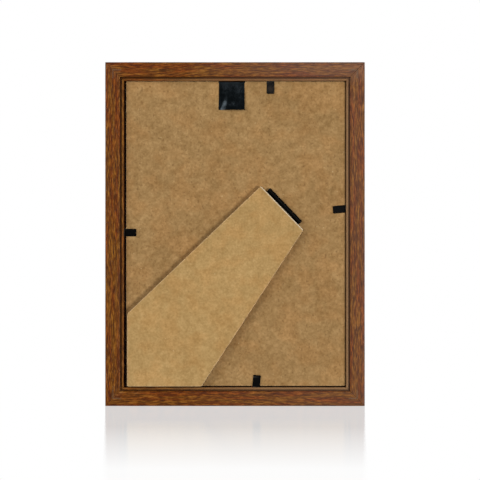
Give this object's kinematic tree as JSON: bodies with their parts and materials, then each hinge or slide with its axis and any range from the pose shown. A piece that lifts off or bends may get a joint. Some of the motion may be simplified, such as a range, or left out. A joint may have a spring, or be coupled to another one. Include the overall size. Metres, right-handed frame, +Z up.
{
  "type": "coin display frame",
  "caption": "Wooden easel frame with a glazed tray of round coin pockets, a fibreboard back held by bendable tabs, and a hinged strut that folds out to stand it up.",
  "frame": {"origin": "middle of the bottom rail's underside, the face that the frame rests on in portrait use", "axes": "+Z up in portrait use; -Y is the display side; +Y is the back with the strut; +X is to the right as seen from the display side"},
  "size_m": [0.154, 0.0205, 0.204],
  "materials": {
    "rail_wood": "dark reddish-brown wood-grain foil, satin",
    "nail_steel": "dull bright steel edge",
    "glazing_glass": "clear, polished",
    "mount_board": "matt dark blue board with a pale bevel-cut core",
    "tray_flock": "dark flocked foam",
    "liner_felt": "dark blue felt on card",
    "fibreboard": "raw hardboard, mottled and matt",
    "tab_steel": "black, satin",
    "black_vinyl": "black glossy vinyl tape",
    "hinge_steel": "black, satin",
    "pin_steel": "bright wire steel",
    "strut_board": "raw fibreboard, smooth and matt"
  },
  "bodies": {
    "frame": {"rail_bottom": "rail_wood", "rail_left": "rail_wood", "rail_top": "rail_wood", "rail_right": "rail_wood", "v_nail_bottom_left": "nail_steel", "v_nail_bottom_right": "nail_steel", "v_nail_top_left": "nail_steel", "v_nail_top_right": "nail_steel", "glazing": "glazing_glass", "face_mount": "mount_board", "coin_tray": "tray_flock", "liner_card": "liner_felt", "backing_board": "fibreboard", "tab_root_top": "tab_steel", "tab_root_left": "tab_steel", "tab_root_right": "tab_steel", "tab_root_bottom": "tab_steel", "pull_tab_anchor": "black_vinyl", "hinge_board_leaf": "hinge_steel", "hinge_pin": "pin_steel", "board_tack_1": "pin_steel", "board_tack_2": "pin_steel"},
    "strut": {"strut_panel": "strut_board", "hinge_strut_leaf": "hinge_steel", "strut_tack_1": "pin_steel", "strut_tack_2": "pin_steel"},
    "tab_top": {"tab_flap_top": "tab_steel"},
    "tab_left": {"tab_flap_left": "tab_steel"},
    "tab_right": {"tab_flap_right": "tab_steel"},
    "tab_bottom": {"tab_flap_bottom": "tab_steel"},
    "pull_tab": {"pull_tab_flap": "black_vinyl"}
  },
  "joints": [
    {"name": "strut_fold", "type": "hinge", "parent": "frame", "child": "strut", "pos_m": [-0.0295, 0.00726, 0.1187], "axis": [0.6947, 0, 0.7193], "range_deg": [-1, 37.5]},
    {"name": "tab_bend_top", "type": "hinge", "parent": "frame", "child": "tab_top", "pos_m": [-0.0211, 0.00617, 0.19245], "axis": [1, 0, 0], "range_deg": [0, 90]},
    {"name": "tab_bend_left", "type": "hinge", "parent": "frame", "child": "tab_left", "pos_m": [-0.06545, 0.00617, 0.11705], "axis": [0.0872, 0, 0.9962], "range_deg": [0, 90]},
    {"name": "tab_bend_right", "type": "hinge", "parent": "frame", "child": "tab_right", "pos_m": [0.06545, 0.00617, 0.1029], "axis": [0, 0, -1], "range_deg": [0, 90]},
    {"name": "tab_bend_bottom", "type": "hinge", "parent": "frame", "child": "tab_bottom", "pos_m": [-0.01255, 0.00617, 0.01155], "axis": [-0.9962, 0, -0.0872], "range_deg": [0, 90]},
    {"name": "pull_tab_lift", "type": "hinge", "parent": "frame", "child": "pull_tab", "pos_m": [0.00195, 0.00611, 0.19145], "axis": [1, 0, 0], "range_deg": [0, 95]}
  ]
}
